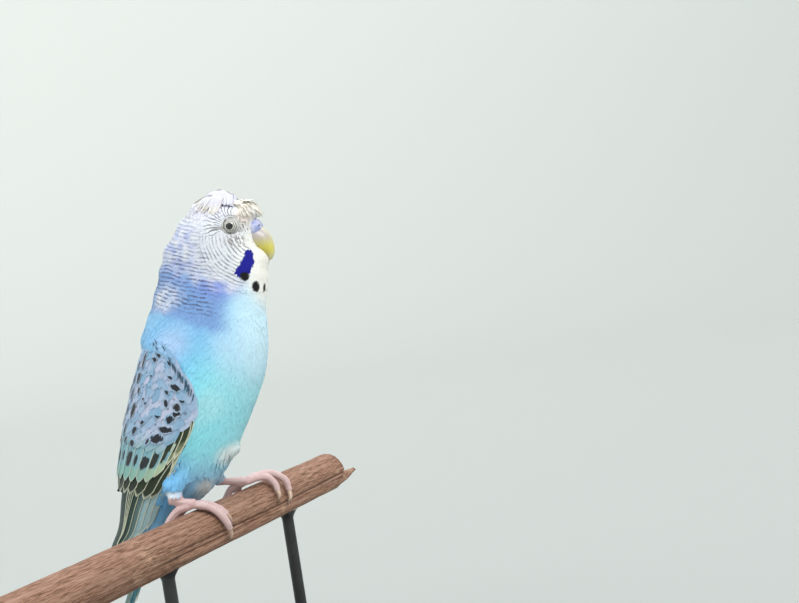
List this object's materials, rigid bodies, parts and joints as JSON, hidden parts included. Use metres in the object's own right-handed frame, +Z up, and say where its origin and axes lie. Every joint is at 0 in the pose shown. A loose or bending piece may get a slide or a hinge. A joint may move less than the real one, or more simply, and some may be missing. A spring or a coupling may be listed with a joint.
{
  "type": "budgerigar on a perch",
  "caption": "Life-size still budgerigar with a crest, upright on a cut length of wooden perch that a plain display stand holds.",
  "frame": {"origin": "centre of the underside of the stand's round base", "axes": "+Z up, +X the way the bird faces, +Y to the bird's left"},
  "size_m": [0.124, 0.2368, 0.2236],
  "materials": {
    "feather_body": "soft feathers, sky blue shading to turquoise",
    "feather_face": "soft white and cream feathers with fine grey bars",
    "feather_crest": "long soft cream and lilac feathers",
    "feather_wing": "pale blue coverts with dark spots",
    "feather_flight": "dark olive flight feathers with cream edges",
    "feather_tail": "turquoise tail feathers with pale edges",
    "cere": "smooth waxy skin, violet blue",
    "beak": "satin horn, olive to yellow",
    "eye": "wet, glossy, black with a pale ring",
    "foot_skin": "pink scaly skin",
    "claw": "pale horn",
    "perch_wood": "weathered bare wood, red brown",
    "stand_wood": "dark satin painted wood",
    "stand_metal": "dark satin painted steel"
  },
  "bodies": {
    "root": {"trunk": "feather_body", "neck": "feather_body", "head": "feather_face", "crest": "feather_crest", "cere": "cere", "beak_upper": "beak", "beak_lower": "beak", "eye_left": "eye", "eye_right": "eye", "wing_left": "feather_wing", "wing_right": "feather_wing", "primaries_left": "feather_flight", "primaries_right": "feather_flight", "tail": "feather_tail", "thigh_left": "feather_body", "thigh_right": "feather_body", "foot_left": "foot_skin", "foot_right": "foot_skin", "perch": "perch_wood", "stand_base": "stand_wood", "stand_rod_1": "stand_metal", "stand_rod_2": "stand_metal", "claw_left_inner_front": "claw", "claw_left_outer_front": "claw", "claw_left_inner_back": "claw", "claw_left_outer_back": "claw", "claw_right_inner_front": "claw", "claw_right_outer_front": "claw", "claw_right_inner_back": "claw", "claw_right_outer_back": "claw"}
  },
  "joints": []
}
